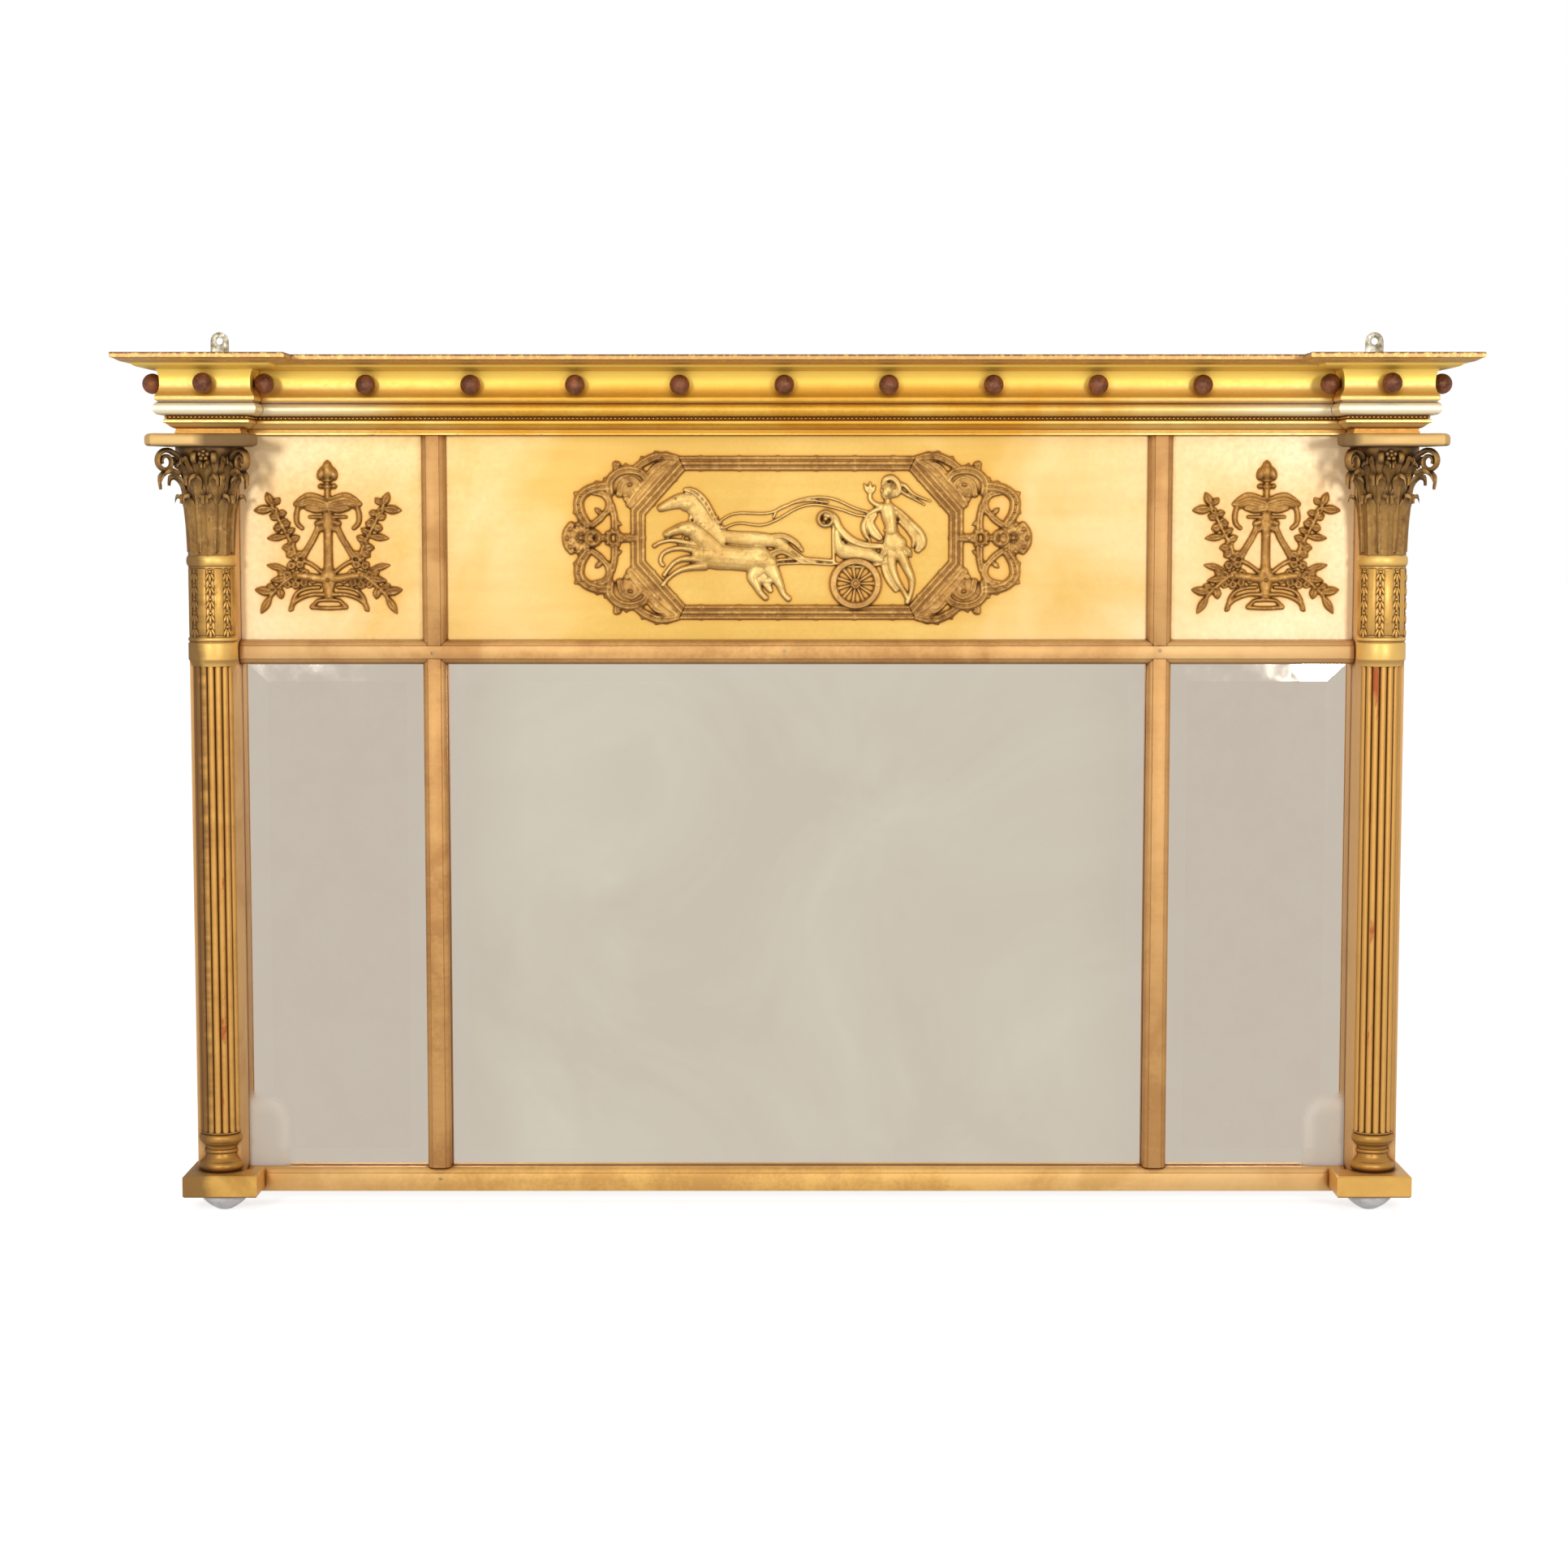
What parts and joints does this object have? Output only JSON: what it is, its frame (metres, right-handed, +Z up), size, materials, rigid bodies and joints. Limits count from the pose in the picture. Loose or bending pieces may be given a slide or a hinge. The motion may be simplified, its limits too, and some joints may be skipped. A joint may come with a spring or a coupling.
{
  "type": "mirror",
  "caption": "Giltwood overmantel mirror with breakfront ball cornice, chariot frieze, split reeded columns with leaf capitals and three bevelled plates",
  "frame": {"origin": "middle of the bottom rail's rear face, which lies against the wall", "axes": "+X to the viewer's right, -Y out of the glass towards the viewer, +Z up; +Y goes into the wall"},
  "size_m": [1.45, 0.135, 0.9648],
  "materials": {
    "bright_gilt": "burnished water gilding on carved wood, softly worn",
    "pale_gilt": "pale matt gilding on flat panels",
    "worn_gilt": "gilding rubbed through to red clay on the high places",
    "dark_gilt": "toned matt gilding, darker in the recesses",
    "bronzed_ball": "red-brown bronzed wood with a soft gloss",
    "silvered_glass": "aged silvered plate with a ground bevel",
    "bare_softwood": "bare aged softwood",
    "aged_brass": "dull unpolished",
    "pale_plastic": "smooth satin"
  },
  "bodies": {
    "root": {"plinth_left": "bright_gilt", "column_base_left": "bright_gilt", "column_shaft_left": "worn_gilt", "column_drum_left": "bright_gilt", "capital_left": "dark_gilt", "abacus_left": "worn_gilt", "plinth_right": "bright_gilt", "column_base_right": "bright_gilt", "column_shaft_right": "worn_gilt", "column_drum_right": "bright_gilt", "capital_right": "dark_gilt", "abacus_right": "worn_gilt", "ball_01": "bronzed_ball", "ball_02": "bronzed_ball", "ball_03": "bronzed_ball", "ball_04": "bronzed_ball", "ball_05": "bronzed_ball", "ball_06": "bronzed_ball", "ball_07": "bronzed_ball", "ball_08": "bronzed_ball", "ball_09": "bronzed_ball", "ball_10": "bronzed_ball", "ball_11": "bronzed_ball", "ball_12": "bronzed_ball", "ball_13": "bronzed_ball", "ball_14": "bronzed_ball", "ball_15": "bronzed_ball", "cornice_crown": "bright_gilt", "cornice_moulding_centre": "bright_gilt", "cornice_break_left": "bright_gilt", "cornice_break_right": "bright_gilt", "top_rail": "bare_softwood", "stile_left": "worn_gilt", "stile_right": "worn_gilt", "bottom_rail": "worn_gilt", "middle_rail": "bright_gilt", "mullion_left": "bright_gilt", "mullion_right": "bright_gilt", "mirror_plate_left": "silvered_glass", "mirror_plate_centre": "silvered_glass", "mirror_plate_right": "silvered_glass", "backboard_left": "bare_softwood", "backboard_centre": "bare_softwood", "backboard_right": "bare_softwood", "frieze_panel_left": "pale_gilt", "frieze_panel_centre": "pale_gilt", "frieze_panel_right": "pale_gilt", "lyre_left": "dark_gilt", "lyre_right": "dark_gilt", "spray_left": "worn_gilt", "spray_right": "worn_gilt", "border_top": "worn_gilt", "border_bottom": "worn_gilt", "chariot_relief": "dark_gilt", "chariot_wheel": "dark_gilt", "hanging_plate_left": "aged_brass", "hanging_plate_right": "aged_brass", "foot_pad_left": "pale_plastic", "foot_pad_right": "pale_plastic"}
  },
  "joints": []
}
